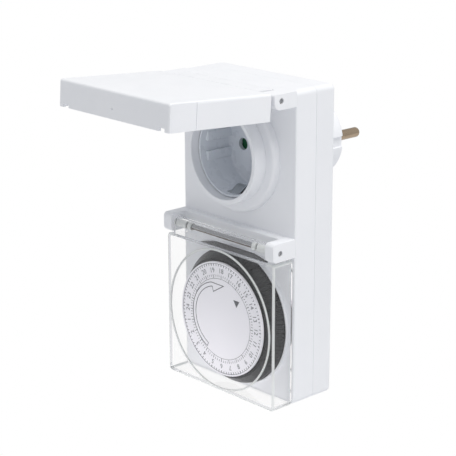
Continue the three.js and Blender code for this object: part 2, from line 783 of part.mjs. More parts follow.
function makeMotor() {
  const front = plateY + plateThick + restGap;
  return shaped([
    rodY(14, front, 20.6, motorX, idlerZ, 40), rodY(3.2, 20, 22, motorX, idlerZ, 20),
  ], [rodY(1.1, front - 1, 13.6, motorX, idlerZ, 16)]);
}

function makeSwitchLever() {
  return shaped([
    box(leverX0, leverX1, leverPivotY - 0.9, leverPivotY + 0.9, leverNoseZ - 1.6, leverPivotZ),
    rodX(1.7, leverX0, leverX1, leverPivotY, leverPivotZ, 20),
    rodX(1.2, leverX0, leverX1, leverPivotY - 1.2, leverNoseZ, 16),
  ], [rodX(0.8 + runningGap, leverX0 - 1, leverX1 + 1, leverPivotY, leverPivotZ, 16)]);
}

function makeMicroSwitch() {
  return shaped([box(-33, -20.4, switchFront, 19, 26, 48)], [
    rodY(plungerRadius + 0.1, switchFront - 1, switchFront + 4.4, -30.4, plungerZ, 16),
  ]);
}

timer.add(node('mechanism_plate', makeMechanismPlate(), plastic(0xc9c4b4, 0.55)));
timer.add(node('clock_motor', makeMotor(), metal(0xa8a8a4, 0.4)));
timer.add(node('switch_lever', makeSwitchLever(), plastic(0xd8d8d0, 0.5)));
timer.add(node('lever_axle', shaped([
  rodX(0.8, leverX0 - 1.6, leverX1 + 1.6, leverPivotY, leverPivotZ, 16),
]), steel()));
timer.add(node('micro_switch', makeMicroSwitch(), plastic(0x2f3033, 0.5)));
timer.add(node('switch_plunger', shaped([
  rodY(plungerRadius, leverPivotY + 1.1, switchFront + 3, -30.4, plungerZ, 16),
]), plastic(0xb03a30, 0.5)));

const model = new THREE.Group();
model.add(timer);

export default model;
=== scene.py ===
import math

import bmesh
import bpy
from mathutils import Matrix, Vector


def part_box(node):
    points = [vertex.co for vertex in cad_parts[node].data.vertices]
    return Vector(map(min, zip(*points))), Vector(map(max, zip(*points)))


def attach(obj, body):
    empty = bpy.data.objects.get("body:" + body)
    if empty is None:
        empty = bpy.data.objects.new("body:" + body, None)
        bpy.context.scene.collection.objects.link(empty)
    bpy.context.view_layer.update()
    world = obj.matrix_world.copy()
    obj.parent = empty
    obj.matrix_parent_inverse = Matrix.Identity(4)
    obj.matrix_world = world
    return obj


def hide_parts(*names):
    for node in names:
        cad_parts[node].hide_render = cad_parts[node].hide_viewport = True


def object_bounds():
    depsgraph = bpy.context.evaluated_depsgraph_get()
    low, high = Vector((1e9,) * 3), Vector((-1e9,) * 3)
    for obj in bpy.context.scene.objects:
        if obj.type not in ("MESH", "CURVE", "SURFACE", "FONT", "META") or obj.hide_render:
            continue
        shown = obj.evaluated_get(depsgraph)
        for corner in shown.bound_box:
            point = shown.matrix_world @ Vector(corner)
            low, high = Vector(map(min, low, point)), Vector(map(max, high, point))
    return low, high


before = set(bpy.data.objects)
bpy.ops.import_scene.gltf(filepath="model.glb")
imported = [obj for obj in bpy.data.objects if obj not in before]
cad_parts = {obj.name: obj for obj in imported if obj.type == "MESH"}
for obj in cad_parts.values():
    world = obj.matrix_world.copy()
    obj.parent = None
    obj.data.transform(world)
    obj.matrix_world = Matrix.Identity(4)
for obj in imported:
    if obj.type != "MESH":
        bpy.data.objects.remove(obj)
cadLow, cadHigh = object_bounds()

site = {
    "half": 37,                # half the housing's width
    "height": 146,
    "depth": 25,
    "seam": 12.5,              # where the two housing halves meet
    "seamGap": 0.16,
    "socketZ": 112.5,
    "dialZ": 34.6,
    "lidPin": (-9, 142.8),     # y and z of the lid's hinge pin
    "coverPin": (-9.1, 74.5),  # y and z of the clear cover's hinge pin
    "lidOpen": 94,             # degrees that the lid stands open at rest
    "pitch": 9.5,              # contact holes and pins left and right of centre
    "plugEnd": 50,             # from the front panel to the plug's end face
    "through": (-40, 40),      # a cut along x that goes through the whole width
}

# Shapes are drawn in millimetres: x to the right, y = 0 on the front panel and growing to the back,
# z = 0 at the foot. place() turns them into metres in the part's own frame.
mm = 0.001
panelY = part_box("plug_body")[1].y - site["plugEnd"] * mm
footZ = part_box("rear_housing")[0].z
socketAxis = (0, site["socketZ"])
dialAxis = (0, site["dialZ"])
half = site["half"]

near = 1e-3        # mm within which places count as the same
weld = 1e-4        # mm within which a spun or typed shape's points are joined
onePlane = 0.3     # degrees within which faces left by a cut become one
past = 1           # mm that a cut runs on outside the solid that it opens
white = "FFFFFF"


def level(axis):
    # picks the edges that lie square to x, y or z, given as 0, 1 or 2
    return lambda a, b: abs(a[axis] - b[axis]) < near


def standing(axis):
    # picks the edges that run along x, y or z
    return lambda a, b: abs(a[axis] - b[axis]) > near


def rimAt(axis, value):
    # picks the edges in the plane at this value of x, y or z
    return lambda a, b: abs(a[axis] - value) < near and abs(b[axis] - value) < near


def soften(bm, width, steps=2, pick=None):
    # rounds the edges that pick chooses, or all of them
    edges = [e for e in bm.edges if pick is None or pick(e.verts[0].co, e.verts[1].co)]
    if edges and width:
        bmesh.ops.bevel(bm, geom=edges, offset=width, offset_type="OFFSET", affect="EDGES",
                        segments=steps, profile=0.5, material=-1, clamp_overlap=True)
    return bm


def shifted(bm, x=0, y=0, z=0):
    bmesh.ops.translate(bm, vec=(x, y, z), verts=bm.verts)
    return bm


def turned(bm, axis, degrees):
    # about the origin
    turn = Matrix.Rotation(math.radians(degrees), 3, axis)
    bmesh.ops.rotate(bm, cent=(0, 0, 0), matrix=turn, verts=bm.verts)
    return bm


def block(x, y, z, edge=0, steps=2):
    bm = bmesh.new()
    bmesh.ops.create_cube(bm, size=1)
    bmesh.ops.scale(bm, vec=(x[1] - x[0], y[1] - y[0], z[1] - z[0]), verts=bm.verts)
    shifted(bm, (x[0] + x[1]) / 2, (y[0] + y[1]) / 2, (z[0] + z[1]) / 2)
    return soften(bm, edge, steps)


def slab(x, z, y, corner, frontRound=0, backRound=0, steps=5):
    # a plate with rounded corners seen from the front, and rounded front or back rims
    bm = soften(block(x, y, z), corner, steps, standing(1))
    soften(bm, frontRound, 4, rimAt(1, y[0]))
    return soften(bm, backRound, 5, rimAt(1, y[1]))


def rod(axis, radius, span, centre, sides=48, edge=0):
    # a cylinder along x or y; centre gives the other two coordinates
    bm = bmesh.new()
    bmesh.ops.create_cone(bm, cap_ends=True, segments=sides, radius1=radius, radius2=radius,
                          depth=span[1] - span[0])
    soften(bm, edge, 2, level(2))
    turned(bm, "Y" if axis == "x" else "X", 90)
    middle = (span[0] + span[1]) / 2
    if axis == "x":
        return shifted(bm, middle, centre[0], centre[1])
    return shifted(bm, centre[0], middle, centre[1])


def section(points, across, steps=4):
    # a flat face through the points; a third number rounds that corner
    bm = bmesh.new()
    verts = [bm.verts.new(across(*point[:2])) for point in points]
    bm.faces.new(verts)
    for point, vert in zip(points, verts):
        if len(point) > 2:
            bmesh.ops.bevel(bm, geom=[vert], offset=point[2], offset_type="OFFSET",
                            affect="VERTICES", segments=steps, profile=0.5, material=-1)
    return bm


def thickened(bm, x=0, y=0, z=0):
    # gives flat faces a depth
    made = bmesh.ops.extrude_face_region(bm, geom=list(bm.faces))
    grown = [v for v in made["geom"] if isinstance(v, bmesh.types.BMVert)]
    bmesh.ops.translate(bm, vec=(x, y, z), verts=grown)
    bmesh.ops.recalc_face_normals(bm, faces=bm.faces)
    return bm


def pushed(points, axis, span, edge=0, steps=4):
    # a section pushed along x or y into a solid
    start, length = span[0], span[1] - span[0]
    if axis == "x":
        bm = thickened(section(points, lambda y, z: (start, y, z), steps), x=length)
        return soften(bm, edge, 2, level(0))
    bm = thickened(section(points, lambda x, z: (x, start, z), steps), y=length)
    return soften(bm, edge, 2, level(1))


def spun(points, centre, sides=96, steps=4):
    # a closed section of radius and y turned about the y axis through centre
    bm = section(points, lambda r, y: (centre[0] + r, y, centre[1]), steps)
    bmesh.ops.delete(bm, geom=list(bm.faces), context="FACES_ONLY")
    axisEdges = [e for e in bm.edges if all(abs(v.co.x - centre[0]) < weld for v in e.verts)]
    bmesh.ops.delete(bm, geom=axisEdges, context="EDGES")
    bmesh.ops.spin(bm, geom=list(bm.verts) + list(bm.edges), cent=(centre[0], 0, centre[1]),
                   axis=(0, 1, 0), angle=math.tau, steps=sides, use_merge=True)
    bmesh.ops.remove_doubles(bm, verts=bm.verts, dist=weld)
    bmesh.ops.recalc_face_normals(bm, faces=bm.faces)
    return bm


def mirrored(make):
    # the shape at plus x and its twin at minus x
    twin = make()
    bmesh.ops.scale(twin, vec=(-1, 1, 1), verts=twin.verts)
    bmesh.ops.recalc_face_normals(twin, faces=twin.faces)
    return [make(), twin]


def together(shapes):
    # several shapes in one mesh, each still closed
    bm = bmesh.new()
    for shape in shapes:
        mesh = bpy.data.meshes.new("shape")
        shape.to_mesh(mesh)
        shape.free()
        bm.from_mesh(mesh)
        bpy.data.meshes.remove(mesh)
    return bm


def asObject(bm, name):
    mesh = bpy.data.meshes.new(name)
    bm.to_mesh(mesh)
    bm.free()
    made = bpy.data.objects.new(name, mesh)
    bpy.context.scene.collection.objects.link(made)
    return made


def asShown(thing):
    # the thing with its modifiers or its curve worked out, as a new bmesh
    bpy.context.view_layer.update()
    mesh = bpy.data.meshes.new_from_object(thing.evaluated_get(bpy.context.evaluated_depsgraph_get()))
    bm = bmesh.new()
    bm.from_mesh(mesh)
    bpy.data.meshes.remove(mesh)
    return bm


def formed(base, add=(), cut=()):
    # joins the add shapes to the base, then cuts the cut shapes away; triangles keep the cuts exact
    for shape in (base, *add, *cut):
        bmesh.ops.triangulate(shape, faces=shape.faces)
    target = asObject(base, "work")
    tools = []
    for operation, shapes in (("UNION", add), ("DIFFERENCE", cut)):
        for shape in shapes:
            tool = asObject(shape, "tool")
            tools.append(tool)
            change = target.modifiers.new(operation.lower(), "BOOLEAN")
            change.operation = operation
            change.solver = "EXACT"
            change.object = tool
    bm = asShown(target)
    for used in [target, *tools]:
        bpy.data.objects.remove(used)
    bmesh.ops.remove_doubles(bm, verts=bm.verts, dist=near)
    bmesh.ops.dissolve_limit(bm, angle_limit=math.radians(onePlane), verts=bm.verts, edges=bm.edges)
    return bm


def place(bm):
    bmesh.ops.scale(bm, vec=(mm, mm, mm), verts=bm.verts)
    shifted(bm, 0, panelY, footZ)


def finishPiece(bm, name, finish, body, nodes=(), extra=(), sharp=35):
    # sharp is the angle in degrees from which an edge stays an edge; extra finishes go on the faces
    # that were given a material index of their own
    place(bm)
    piece = asObject(bm, name)
    for material in (finish, *extra):
        piece.data.materials.append(material)
    piece.data.shade_smooth()
    piece.data.set_sharp_from_angle(angle=math.radians(sharp))
    # large faces keep their own normal, so that they stay flat up to their rounded rims
    weighting = piece.modifiers.new("flat_faces", "WEIGHTED_NORMAL")
    weighting.keep_sharp = True
    weighting.weight = 100
    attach(piece, body)
    if nodes:
        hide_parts(*nodes)
    return piece


def linear(hexText):
    # an sRGB hex colour as the linear numbers that a shader takes
    parts = [int(hexText[i:i + 2], 16) / 255 for i in (0, 2, 4)]
    return (*[p / 12.92 if p <= 0.04045 else ((p + 0.055) / 1.055) ** 2.4 for p in parts], 1)


def addNode(tree, kind, settings=None, links=None):
    made = tree.nodes.new(kind)
    for name, value in (settings or {}).items():
        if isinstance(name, int) or name in made.inputs:
            made.inputs[name].default_value = value
        else:
            setattr(made, name, value)
    for name, source in (links or {}).items():
        tree.links.new(source, made.inputs[name])
    return made


def perMetre(sizeMm):
    # noise scale for a pattern of this size, as Object coordinates are in metres
    return 1 / (sizeMm * mm)


def makeFinish(name, recipe):
    # one noise tints the colour, one varies the gloss, and a fine one gives the surface its grain
    material = bpy.data.materials.new(name)
    material.use_nodes = True
    tree = material.node_tree
    tree.nodes.clear()
    where = addNode(tree, "ShaderNodeTexCoord")
    stretch = addNode(tree, "ShaderNodeMapping", {"Scale": recipe.get("stretch", (1, 1, 1))},
                      {"Vector": where.outputs["Object"]})
    blotch = addNode(tree, "ShaderNodeTexNoise", {"Scale": perMetre(recipe["blotch"]), "Detail": 3.0},
                     {"Vector": stretch.outputs[0]})
    tint = addNode(tree, "ShaderNodeMix",
                   {"data_type": "RGBA", 6: linear(recipe["colour"]), 7: linear(recipe["shade"])},
                   {0: blotch.outputs["Fac"]})
    patch = addNode(tree, "ShaderNodeTexNoise", {"Scale": perMetre(recipe["patch"]), "Detail": 4.0},
                    {"Vector": stretch.outputs[0]})
    low, high = recipe["gloss"]
    gloss = addNode(tree, "ShaderNodeMapRange",
                    {"From Min": 0.3, "From Max": 0.7, "To Min": low, "To Max": high},
                    {"Value": patch.outputs["Fac"]})
    grain = addNode(tree, "ShaderNodeTexNoise", {"Scale": perMetre(recipe["grain"]), "Detail": 2.0},
                    {"Vector": stretch.outputs[0]})
    relief = addNode(tree, "ShaderNodeBump",
                     {"Strength": recipe.get("strength", 0.3), "Distance": recipe["relief"] * mm},
                     {"Height": grain.outputs["Fac"]})
    surface = addNode(tree, "ShaderNodeBsdfPrincipled", recipe.get("shader", {}),
                      {"Base Color": tint.outputs[2], "Roughness": gloss.outputs["Result"],
                       "Normal": relief.outputs["Normal"]})
    addNode(tree, "ShaderNodeOutputMaterial", {}, {"Surface": surface.outputs[0]})
    return material


# moulded ABS: bright white, softly glossy, with the fine spark grain of the mould (0.35 mm, drawn
# coarse enough to show) and a faint mottle where the melt cooled
mouldedAbs = makeFinish("moulded_abs", {
    "colour": "F4F5F8", "shade": "EEF0F4", "blotch": 22, "patch": 6, "gloss": (0.30, 0.42),
    "grain": 0.35, "relief": 0.02, "strength": 0.35, "shader": {"IOR": 1.54}})
# the rear half is the same ABS from a plainer mould, a little more matt
rearAbs = makeFinish("moulded_abs_rear", {
    "colour": "F3F4F7", "shade": "ECEEF2", "blotch": 30, "patch": 8, "gloss": (0.36, 0.48),
    "grain": 0.5, "relief": 0.03, "strength": 0.4, "shader": {"IOR": 1.54}})
# heat-proof polyamide of the socket cup: greyer and smoother than the shell
socketNylon = makeFinish("moulded_polyamide_cup", {
    "colour": "E6EAF0", "shade": "E0E5EC", "blotch": 14, "patch": 4, "gloss": (0.24, 0.34),
    "grain": 0.4, "relief": 0.015, "strength": 0.3, "shader": {"IOR": 1.53}})
# dial disc: smooth ABS that takes the pad printing
dialAbs = makeFinish("moulded_abs_dial", {
    "colour": "FAF9FE", "shade": "F5F4FA", "blotch": 16, "patch": 5, "gloss": (0.34, 0.44),
    "grain": 0.3, "relief": 0.012, "strength": 0.3, "shader": {"IOR": 1.54}})
# pad printing ink: thin grey film with a slightly uneven edge and sheen
padInk = makeFinish("pad_printing_ink", {
    "colour": "4E5056", "shade": "66686E", "blotch": 0.6, "patch": 0.5, "gloss": (0.45, 0.6),
    "grain": 0.15, "relief": 0.008, "strength": 0.4, "shader": {"IOR": 1.5}})
# acetal segments: dark grey and waxy from rubbing against each other
segmentAcetal = makeFinish("moulded_acetal_segments", {
    "colour": "1D1E21", "shade": "18191B", "blotch": 5, "patch": 1.6, "gloss": (0.3, 0.4),
    "grain": 0.25, "relief": 0.01, "strength": 0.25, "shader": {"IOR": 1.48}})
# green polyamide shutter behind the contact holes
shutterNylon = makeFinish("moulded_polyamide_green", {
    "colour": "0E5A35", "shade": "0A4A2B", "blotch": 8, "patch": 3, "gloss": (0.35, 0.5),
    "grain": 0.3, "relief": 0.015, "shader": {"IOR": 1.53}})
# natural acetal gears: creamy, waxy, faintly translucent looking
gearAcetal = makeFinish("moulded_acetal_natural", {
    "colour": "E6E0CF", "shade": "DAD3BF", "blotch": 9, "patch": 3, "gloss": (0.35, 0.5),
    "grain": 0.3, "relief": 0.015, "shader": {"IOR": 1.48}})
# black phenolic switch case: hard, slightly dusty
phenolic = makeFinish("moulded_phenolic_black", {
    "colour": "26272A", "shade": "323338", "blotch": 6, "patch": 2, "gloss": (0.4, 0.6),
    "grain": 0.3, "relief": 0.03, "shader": {"IOR": 1.58}})
# red polyamide plunger: small, evenly coloured, half gloss
redNylon = makeFinish("moulded_polyamide_red", {
    "colour": "B2352B", "shade": "98281F", "blotch": 4, "patch": 2, "gloss": (0.35, 0.5),
    "grain": 0.25, "relief": 0.015, "shader": {"IOR": 1.53}})
# EPDM seals: dull dark grey with bloom
sealRubber = makeFinish("moulded_epdm_rubber", {
    "colour": "5B5E62", "shade": "6F7276", "blotch": 4, "patch": 2, "gloss": (0.7, 0.85),
    "grain": 0.3, "relief": 0.04, "shader": {"IOR": 1.52}})
# drawn steel pins: fine lines along x from the drawing die
drawnSteel = makeFinish("drawn_steel", {
    "colour": "B9BABC", "shade": "9A9B9E", "blotch": 1.2, "patch": 1, "gloss": (0.2, 0.34),
    "grain": 0.12, "relief": 0.01, "stretch": (0.05, 1, 1), "shader": {"Metallic": 1.0}})
# painted shade for the hinge pins' undersides: dark brown, half gloss, put where the underside lies in
# shade
pinUndersideShade = makeFinish("painted_shade_pin_underside", {
    "colour": "5A4632", "shade": "3E2F20", "blotch": 1.5, "patch": 1, "gloss": (0.3, 0.5),
    "grain": 0.2, "relief": 0.01, "shader": {"IOR": 1.47}})
# turned steel screws and axles: darker than the drawn pins, with rings left by the tool
turnedSteel = makeFinish("turned_steel", {
    "colour": "B4B5B7", "shade": "98999C", "blotch": 2, "patch": 1, "gloss": (0.22, 0.36),
    "grain": 0.15, "relief": 0.01, "stretch": (1, 0.1, 1), "shader": {"Metallic": 1.0}})
# nickel over brass: warm silver that browns where the plating is thin
nickelBrass = makeFinish("nickel_plated_brass", {
    "colour": "C4B29C", "shade": "A08A70", "blotch": 3, "patch": 1.5, "gloss": (0.18, 0.32),
    "grain": 0.2, "relief": 0.012, "stretch": (1, 0.25, 1), "shader": {"Metallic": 1.0}})
# bright nickel on rolled spring strip: cooler and smoother, faint lines along the strip
springNickel = makeFinish("nickel_plated_spring_strip", {
    "colour": "C9CBCC", "shade": "AEB1B3", "blotch": 3, "patch": 1.2, "gloss": (0.16, 0.28),
    "grain": 0.2, "relief": 0.01, "stretch": (1, 0.2, 1), "shader": {"Metallic": 1.0}})
# bare rolled brass: warm yellow, with lines along the strip and dull patches from handling
rolledBrass = makeFinish("rolled_brass", {
    "colour": "C8A15C", "shade": "A98343", "blotch": 4, "patch": 1.5, "gloss": (0.25, 0.42),
    "grain": 0.2, "relief": 0.015, "stretch": (1, 1, 0.1), "shader": {"Metallic": 1.0}})
# zinc plated sheet of the motor can: grey, blotchy and half matt
zincSteel = makeFinish("zinc_plated_steel", {
    "colour": "B7B8B4", "shade": "9FA1A0", "blotch": 3.5, "patch": 2, "gloss": (0.3, 0.5),
    "grain": 0.4, "relief": 0.02, "shader": {"Metallic": 1.0}})


def makePolycarbonate():
    # clear polycarbonate: very smooth, bends light at its edges, less than its real IOR of 1.58 so that
    # the thin walls stay light; lamps and scattered light pass straight through it
    material = bpy.data.materials.new("clear_polycarbonate")
    material.use_nodes = True
    tree = material.node_tree
    tree.nodes.clear()
    where = addNode(tree, "ShaderNodeTexCoord")
    wave = addNode(tree, "ShaderNodeTexNoise", {"Scale": perMetre(14), "Detail": 1.0},
                   {"Vector": where.outputs["Object"]})
    relief = addNode(tree, "ShaderNodeBump", {"Strength": 0.12, "Distance": 0.05 * mm},
                     {"Height": wave.outputs["Fac"]})
    haze = addNode(tree, "ShaderNodeMapRange",
                   {"From Min": 0.3, "From Max": 0.7, "To Min": 0.02, "To Max": 0.05},
                   {"Value": wave.outputs["Fac"]})
    pane = addNode(tree, "ShaderNodeBsdfPrincipled",
                   {"Base Color": linear("FEFEFE"), "IOR": 1.28, "Transmission Weight": 1.0},
                   {"Roughness": haze.outputs["Result"], "Normal": relief.outputs["Normal"]})
    clear = addNode(tree, "ShaderNodeBsdfTransparent", {"Color": linear("FDFDFD")})
    ray = addNode(tree, "ShaderNodeLightPath")
    lit = addNode(tree, "ShaderNodeMath", {"operation": "MAXIMUM"},
                  {0: ray.outputs["Is Shadow Ray"], 1: ray.outputs["Is Diffuse Ray"]})
    # after three bends or reflections light goes straight on, so no edge ends in black
    caught = addNode(tree, "ShaderNodeMath", {"operation": "GREATER_THAN", 1: 2.5},
                     {0: ray.outputs["Ray Depth"]})
    share = addNode(tree, "ShaderNodeMath", {"operation": "MAXIMUM"},
                    {0: lit.outputs[0], 1: caught.outputs[0]})
    mix = addNode(tree, "ShaderNodeMixShader", {},
                  {0: share.outputs[0], 1: pane.outputs[0], 2: clear.outputs[0]})
    addNode(tree, "ShaderNodeOutputMaterial", {}, {"Surface": mix.outputs[0]})
    return material


clearPolycarbonate = makePolycarbonate()
# the bead and the rounded rims keep the matt of the mould's spark-eroded grooves, so they look milky
frostedPolycarbonate = makeFinish("frosted_polycarbonate", {
    "colour": "F4F6F5", "shade": "EAEDEC", "blotch": 3, "patch": 1, "gloss": (0.4, 0.55),
    "grain": 0.2, "relief": 0.02, "shader": {"IOR": 1.585, "Transmission Weight": 0.2}})
print("finishes made")


screw = {
    # x and z
    "places": {"lower_left": (-29.5, 7), "lower_right": (29.5, 7),
               "upper_left": (-29.5, 139), "upper_right": (29.5, 139)},
    "tip": 6, "tipRadius": 0.4, "thread": 1.25, "threadStart": 8.5,
    "head": 2.8, "headHeight": 1.7, "crown": 1.6, "crownHeight": 0.5, "crownRound": 0.4, "sunk": 0.6,
    "slot": 1.7, "slotWidth": 0.35, "slotDepth": 1.1,
}
front = {
    "corner": 2.5, "rim": 0.7, "wall": 2, "hollowCorner": 1.5, "hollowBack": 14,
    "root": 0.5,          # how far brackets and bars reach into the plate
    # round the socket, with a step at its base and a flared bore
    "collar": {"inner": 20.2, "outer": 22.4, "front": -10.7, "rim": 0.5, "mouth": 0.5, "boreBack": 4,
               "base": 27.3, "baseFront": -4, "baseRim": 1.6, "root": 1},
    # ears and lugs hold the pins of the lid and the cover; ledge and bar run between them
    "ear": {"inner": 28.5, "foot": 138.8, "top": site["height"], "front": -13.2, "topRound": 1.2,
            "footRound": 3.6, "edge": 0.35},
    "lug": {"inner": 31.5, "foot": 70.5, "top": 79.3, "front": -13.5, "topRound": 2,
            "footRound": 2.2, "edge": 0.5},
    "ledge": {"half": 29, "front": -4.9, "foot": 139, "edge": 0.4},
    "bar": {"half": 32.5, "front": -4, "foot": 70.7, "top": 79.1, "edge": 0.6},
    # round opening for the dial, with a thin lip
    "well": {"radius": 32.6, "span": (-5, 4), "lip": (-1.6, 1), "thick": 0.5},
    # screw bosses and their pilot holes, and the bores for the hinge pins
    "boss": 3.3, "pilot": 1.35, "pilotSpan": (4, 14), "pinBore": 1.3,
}


def makeBrackets(part):
    # its side view, pushed from its inner face out to the housing's side, on both sides
    return mirrored(lambda: pushed(
        [(front["root"], part["foot"]), (front["root"], part["top"]),
         (part["front"], part["top"], part["topRound"]),
         (part["front"], part["foot"], part["footRound"])],
        "x", (part["inner"], half), part["edge"], 6))


def makeCollar():
    # the plain tube and the step round its base; the bore comes later
    collar = front["collar"]
    tube = spun([(0, collar["front"]), (collar["outer"], collar["front"], collar["rim"]),
                 (collar["outer"], collar["root"]), (0, collar["root"])], socketAxis)
    step = spun([(0, collar["baseFront"]), (collar["base"], collar["baseFront"], collar["baseRim"]),
                 (collar["base"], collar["root"]), (0, collar["root"])], socketAxis)
    return [step, tube]


def makeBore():
    # it flares at its mouth, which leaves the collar's rim rounded inside too
    collar = front["collar"]
    inner, face, mouth, back = (collar[k] for k in ("inner", "front", "mouth", "boreBack"))
    flare = [(inner + mouth - mouth * math.sin(turn), face + mouth - mouth * math.cos(turn))
             for turn in (0, math.pi / 6, math.pi / 3, math.pi / 2)]
    return spun([(0, face - past), (inner + mouth, face - past), *flare, (inner, back), (0, back)],
                socketAxis)


def makeFrontHousing():
    wall, top = front["wall"], site["height"]
    well, ledge, bar = front["well"], front["ledge"], front["bar"]
    plate = slab((-half, half), (0, top), (0, site["seam"] - site["seamGap"] / 2), front["corner"],
                 front["rim"])
    hollow = slab((wall - half, half - wall), (wall, top - wall), (wall, front["hollowBack"]),
                  front["hollowCorner"])
    # the screw bosses are what the hollow leaves standing
    bosses = [rod("y", front["boss"], (wall - past, front["hollowBack"] + past), at)
              for at in screw["places"].values()]
    hollow = formed(hollow, (), bosses)
    lip = rod("y", well["radius"] + well["thick"], well["lip"], dialAxis, 120)
    ears, lugs = makeBrackets(front["ear"]), makeBrackets(front["lug"])
    shelf = block((-ledge["half"], ledge["half"]), (ledge["front"], front["root"]), (ledge["foot"], top),
                  ledge["edge"])
    rail = block((-bar["half"], bar["half"]), (bar["front"], front["root"]), (bar["foot"], bar["top"]),
                 bar["edge"], 3)
    opening = rod("y", well["radius"], well["span"], dialAxis, 120)
    pinBores = [rod("x", front["pinBore"], site["through"], site[hinge], 32)
                for hinge in ("lidPin", "coverPin")]
    pilots = [rod("y", front["pilot"], front["pilotSpan"], at, 24) for at in screw["places"].values()]
    return formed(plate, [*makeCollar(), lip, *ears, *lugs, shelf, rail],
                  [makeBore(), opening, hollow, *pinBores, *pilots])


finishPiece(makeFrontHousing(), "front_shell", mouldedAbs, "housing", ["front_housing"])
print("front housing made")


rear = {"corner": 2.5, "round": 3, "seamEdge": 0.25, "wall": 2, "hollowCorner": 1.5, "column": 4.2,
        "columnSunk": 0.5, "shank": 1.6, "sink": 3.1, "sinkDepth": 2.6, "plugRoom": 0.3}


def makeRearHousing():
    seam, back = site["seam"] + site["seamGap"] / 2, site["depth"]
    wall, top = rear["wall"], site["height"]
    shell = slab((-half, half), (0, top), (seam, back), rear["corner"], rear["seamEdge"], rear["round"])
    hollow = slab((wall - half, half - wall), (wall, top - wall), (seam - 2 * past, back - wall),
                  rear["hollowCorner"])
    shell = formed(shell, (), [hollow])
    places = screw["places"].values()
    columns = [rod("y", rear["column"], (seam, back - rear["columnSunk"]), at) for at in places]
    shanks = [rod("y", rear["shank"], (seam - past, back + past), at, 24) for at in places]
    sinks = [rod("y", rear["sink"], (back - rear["sinkDepth"], back + past), at) for at in places]
    opening = rod("y", plug["radius"] + rear["plugRoom"], (back - 2 * wall, back + past), socketAxis, 96)
    return formed(shell, columns, [opening, *shanks, *sinks])


plug = {
    "radius": 18.8, "bore": 16.2, "wall": 4, "edge": 1.3,
    "flange": {"front": 22.7, "wider": 2, "thick": 2, "edge": 0.3},
    "groove": {"half": 2.6, "depth": 2.6, "front": 29, "edge": 0.5},        # guide grooves at the sides
    "stripSeat": {"half": 4.4, "depth": 2.8, "front": 31, "edge": 0.4},     # for the earth strips
    "strip": {"half": 3.6, "span": (31.4, 49.4), "thick": 1.1, "sunk": 0.4, "edge": 0.35},
    "pin": {"radius": 2.4, "tip": 69, "round": 1.5, "head": 3.4, "start": 33, "headEnd": 34.5,
            "room": 0.1},
}


def makePlugBody():
    flange, groove, seat, pin = (plug[k] for k in ("flange", "groove", "stripSeat", "pin"))
    radius, bore, end = plug["radius"], plug["bore"], site["plugEnd"]
    wide, start, floor = radius + flange["wider"], flange["front"] - flange["thick"], end - plug["wall"]
    body = spun([(bore, start), (wide, start, flange["edge"]), (wide, flange["front"], flange["edge"]),
                 (radius, flange["front"]), (radius, end, plug["edge"]), (0, end), (0, floor),
                 (bore, floor)], socketAxis)
    centre, beyond = site["socketZ"], end + 2 * past
    cuts = []
    for side in (-1, 1):
        # grooves and seats are blocks centred a little outside the plug's edge
        rim = side * (radius + past)
        cuts.append(block((rim - groove["depth"], rim + groove["depth"]), (groove["front"], beyond),
                          (centre - groove["half"], centre + groove["half"]), groove["edge"]))
        cuts.append(block((-seat["half"], seat["half"]), (seat["front"], beyond),
                          (centre + rim - seat["depth"], centre + rim + seat["depth"]), seat["edge"]))
        cuts.append(rod("y", pin["radius"] + pin["room"], (floor - 2 * past, beyond),
                        (side * site["pitch"], centre)))
    return formed(body, (), cuts)


def makePin(side):
    pin = plug["pin"]
    radius, head, start, headEnd, tip = (pin[k] for k in ("radius", "head", "start", "headEnd", "tip"))
    return spun([(0, start), (head, start), (head, headEnd), (radius, headEnd),
                 (radius, tip, pin["round"]), (0, tip)], (side * site["pitch"], site["socketZ"]), 48, 6)


def makeEarthStrip(side):
    # flat strip let into the plug's edge
    strip = plug["strip"]
    reach = site["socketZ"] + side * (plug["radius"] - strip["sunk"])
    return block((-strip["half"], strip["half"]), strip["span"],
                 sorted((reach, reach - side * strip["thick"])), strip["edge"], 3)


def makeScrew(centre):
    # self-tapping screw with a rounded cross head
    tip, head = screw["tip"], site["depth"] - screw["sunk"]
    neck = head - screw["headHeight"]
    body = spun([(0, tip), (screw["tipRadius"], tip), (screw["thread"], screw["threadStart"]),
                 (screw["thread"], neck), (screw["head"], neck),
                 (screw["head"], head - screw["crownHeight"], screw["crownRound"]),
                 (screw["crown"], head), (0, head)], centre, 32, 3)
    x, z = centre
    long, narrow, deep = screw["slot"], screw["slotWidth"], (head - screw["slotDepth"], head + past)
    return formed(body, (), [block((x - long, x + long), deep, (z - narrow, z + narrow)),
                             block((x - narrow, x + narrow), deep, (z - long, z + long))])


finishPiece(makeRearHousing(), "rear_shell", rearAbs, "housing", ["rear_housing"])
finishPiece(makePlugBody(), "plug_carrier", mouldedAbs, "housing", ["plug_body"])
for name, side in (("live", -1), ("neutral", 1)):
    finishPiece(makePin(side), f"pin_{name}", nickelBrass, "housing", [f"plug_pin_{name}"])
for name, side in (("upper", 1), ("lower", -1)):
    finishPiece(makeEarthStrip(side), f"earth_strip_{name}", nickelBrass, "housing",
                [f"plug_earth_{name}"])
for name, centre in screw["places"].items():
    finishPiece(makeScrew(centre), f"screw_{name}", turnedSteel, "housing", [f"housing_screw_{name}"])
print("rear housing and plug made")


